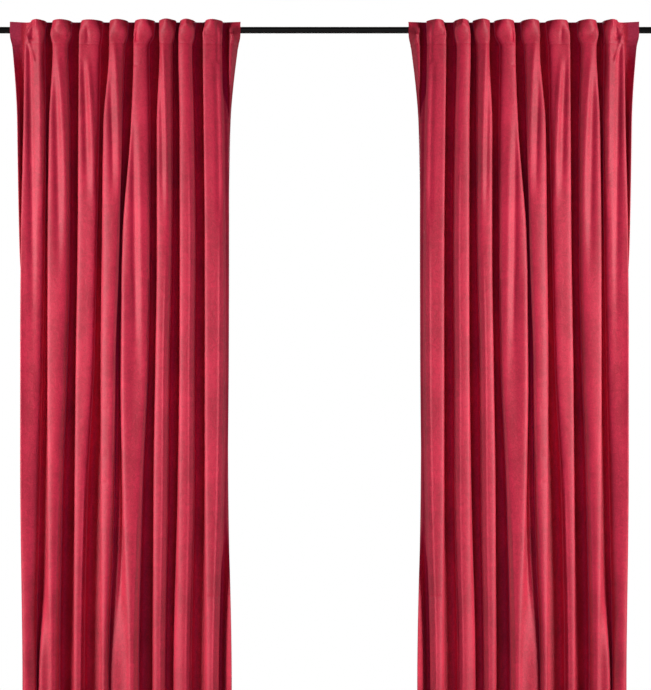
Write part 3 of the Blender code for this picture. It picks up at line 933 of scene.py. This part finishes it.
def rod_paint():
    """Black paint with a fine grain."""
    made, add, shader = node_tree("black_rod_paint")
    place_on = add("ShaderNodeTexCoord").outputs["Object"]
    grain = add("ShaderNodeTexNoise", {"Vector": place_on, "Scale": 900.0, "Detail": 2.0})
    rough = add("ShaderNodeMapRange", {"Value": grain.outputs["Fac"], "To Min": 0.35, "To Max": 0.5})
    link(made, rough.outputs[0], shader.inputs["Roughness"])
    bump = add("ShaderNodeBump", {"Strength": 0.1, "Distance": 0.0002, "Height": grain.outputs["Fac"]})
    link(made, bump.outputs["Normal"], shader.inputs["Normal"])
    shader.inputs["Base Color"].default_value = ROD_BLACK
    return made


# The pieces.

def add_pieces():
    """Every piece, and for each side those that hang there."""
    cloth_look, tape_look, thread_look, paint_look = velvet(), tape(), thread(), rod_paint()
    rod = add_rod(paint_look)
    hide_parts("rod")
    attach(rod, "root")
    heights = row_heights()
    rows = [creased(plan_row(z), z) for z in heights]
    hanging = {}
    for side_name, side in SIDES.items():
        panel = add_panel(f"velvet_{side_name}", heights, rows, side, cloth_look)
        sewn = [hem_stitches(Cloth(heights, rows, side, of_back)) for of_back in (False, True)]
        stitches = new_object(f"hem_stitches_{side_name}", *join(sewn), thread_look)
        straps, ends = [], []
        for number in range(1, TAB_COUNT + 1):
            node = f"tab_{side_name}_{number}"
            low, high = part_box(node)
            strap, length = add_tab(f"tape_{node}", low, high, tape_look)
            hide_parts(node)
            straps.append(strap)
            ends.append(tab_stitches(low, high))
        tab_thread = new_object(f"tab_stitches_{side_name}", *join(ends), thread_look)
        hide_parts(f"panel_{side_name}")
        for piece in (panel, stitches, tab_thread, *straps):
            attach(piece, "root")
        hanging[side_name] = [panel, stitches]
    return rod, hanging


rod, hanging = add_pieces()

# The camera, at the photograph's place: it looks level at the curtains from the middle of the frame.
PHOTO_WIDTH, PHOTO_HEIGHT = 651, 690
MM_PER_PIXEL = 3.4
ROD_ROW = 30.2
MIDDLE_COLUMN = 324.5
CAMERA_DISTANCE = 5.4
SENSOR = 36.0

# The lights. Each curtain has its own key light, rim light and glow, which face a place at this distance
# from the middle. Turns, rises and spreads are in degrees, distances and sizes in metres.
WHITE = (1, 1, 1)
WORLD_LIGHT = 0.035
CURTAIN_MIDDLE_X = 0.68
KEY_TURN = 50
KEY_DISTANCE = 6.0
KEY_SIZE = (2.2, 1.6)
KEY_POWER = 61
KEY_SPREAD = 60
KEY_RAISED = 0.18
RIM_TURN = 82
RIM_DISTANCE = 4.0
RIM_SIZE = (0.8, 2.4)
RIM_POWER = 60
RIM_COLOUR = (1, 0.9, 0.9)
GLOW_TURN = 25
GLOW_DISTANCE = 5.0
GLOW_SIZE = (3.0, 3.0)
GLOW_POWER = 26
GLOW_COLOUR = (1.0, 0.0, 1.0)
FILL_RISE = 15
FILL_DISTANCE = 5.0
FILL_SIZE = (3.0, 2.0)
FILL_POWER = 20
BACK_TURN = 180
BACK_RISE = 20
BACK_DISTANCE = 5.0
BACK_SIZE = (3.0, 3.0)
BACK_POWER = 150
ROOM_RISE = 75
ROOM_DISTANCE = 4.0
ROOM_SIZE = (3.0, 3.0)
ROOM_POWER = 60

# The floor lies this far below the cloth, and its front and back edges here.
FLOOR_DROP = 0.015
FLOOR_HALF_WIDTH = 2.2
FLOOR_FRONT = -2.5
FLOOR_BACK = 1.0


def add_camera():
    """The camera, whose view takes in as much at the rod as the photograph does."""
    data = bpy.data.cameras.new("camera")
    data.sensor_width = SENSOR
    data.lens = SENSOR * CAMERA_DISTANCE / (MM_PER_PIXEL * MM * PHOTO_HEIGHT)
    camera = bpy.data.objects.new("camera", data)
    x = (PHOTO_WIDTH / 2 - MIDDLE_COLUMN) * MM_PER_PIXEL * MM
    z = (ROD_ROW - PHOTO_HEIGHT / 2) * MM_PER_PIXEL * MM
    camera.location = (x, -CAMERA_DISTANCE, z)
    camera.rotation_euler = (math.pi / 2, 0, 0)
    bpy.context.scene.collection.objects.link(camera)
    bpy.context.scene.camera = camera


def add_light(name, centre, turn, rise, distance, size, power, colour=WHITE, lit=None, spread=180):
    """A soft box that faces a centre from a distance: turned from the front towards +X and raised, in
    degrees. With lit, it lights those objects alone."""
    data = bpy.data.lights.new(name, "AREA")
    data.shape = "RECTANGLE"
    data.size, data.size_y = size
    data.energy = power
    data.color = colour
    data.spread = math.radians(spread)
    light = bpy.data.objects.new(name, data)
    turn, rise = math.radians(turn), math.radians(rise)
    away = Vector((math.sin(turn) * math.cos(rise), -math.cos(turn) * math.cos(rise), math.sin(rise)))
    light.location = Vector(centre) + away * distance
    light.rotation_euler = away.to_track_quat("Z", "Y").to_euler()
    light.visible_camera = False
    bpy.context.scene.collection.objects.link(light)
    if lit:
        group = bpy.data.collections.new(f"{name}_lit")
        for piece in lit:
            group.objects.link(piece)
        light.light_linking.receiver_collection = group


def add_world():
    """A white background that gives only a little light."""
    world = bpy.data.worlds.new("studio")
    world.use_nodes = True
    tree = world.node_tree
    background = tree.nodes["Background"]
    path = tree.nodes.new("ShaderNodeLightPath")
    strength = tree.nodes.new("ShaderNodeMapRange")
    strength.inputs["To Min"].default_value = WORLD_LIGHT
    strength.inputs["To Max"].default_value = 1.0
    tree.links.new(path.outputs["Is Camera Ray"], strength.inputs["Value"])
    tree.links.new(strength.outputs[0], background.inputs["Strength"])
    background.inputs["Color"].default_value = (1, 1, 1, 1)
    bpy.context.scene.world = world


def add_floor():
    """A pale floor under the curtains, which is no part of the object."""
    mesh = bpy.data.meshes.new("floor")
    z = CLOTH_FOOT * MM - FLOOR_DROP
    left, right = -FLOOR_HALF_WIDTH, FLOOR_HALF_WIDTH
    front, back = FLOOR_FRONT, FLOOR_BACK
    corners = [(left, front, z), (right, front, z), (right, back, z), (left, back, z)]
    mesh.from_pydata(corners, [], [(0, 1, 2, 3)])
    look, add, shader = node_tree("pale_floor")
    grain = add("ShaderNodeTexNoise", {"Scale": 3.0})
    tone = add("ShaderNodeMapRange", {"Value": grain.outputs["Fac"], "To Min": 0.78, "To Max": 0.84})
    link(look, tone.outputs[0], shader.inputs["Base Color"])
    shader.inputs["Roughness"].default_value = 0.9
    mesh.materials.append(look)
    floor = bpy.data.objects.new("floor", mesh)
    bpy.context.scene.collection.objects.link(floor)
    return floor


add_camera()
add_world()
floor = add_floor()
middle = CLOTH_FOOT * MM / 2
for side_name, side in SIDES.items():
    lit = hanging[side_name]
    centre = (side * CURTAIN_MIDDLE_X, 0, middle)
    raised = (side * CURTAIN_MIDDLE_X, 0, middle + KEY_RAISED)
    key = (side * KEY_TURN, 0, KEY_DISTANCE, KEY_SIZE, KEY_POWER, WHITE)
    rim = (-side * RIM_TURN, 0, RIM_DISTANCE, RIM_SIZE, RIM_POWER, RIM_COLOUR)
    glow = (-side * GLOW_TURN, 0, GLOW_DISTANCE, GLOW_SIZE, GLOW_POWER, GLOW_COLOUR)
    add_light(f"key_{side_name}", raised, *key, lit, KEY_SPREAD)
    add_light(f"rim_{side_name}", centre, *rim, lit)
    add_light(f"glow_{side_name}", centre, *glow, lit)
add_light("fill", (0, 0, middle), 0, FILL_RISE, FILL_DISTANCE, FILL_SIZE, FILL_POWER, lit=[rod])
add_light("back", (0, 0, middle), BACK_TURN, BACK_RISE, BACK_DISTANCE, BACK_SIZE, BACK_POWER)
add_light("room", (0, 0, middle), 0, ROOM_RISE, ROOM_DISTANCE, ROOM_SIZE, ROOM_POWER, lit=[floor])
bpy.context.scene.view_settings.view_transform = "Standard"
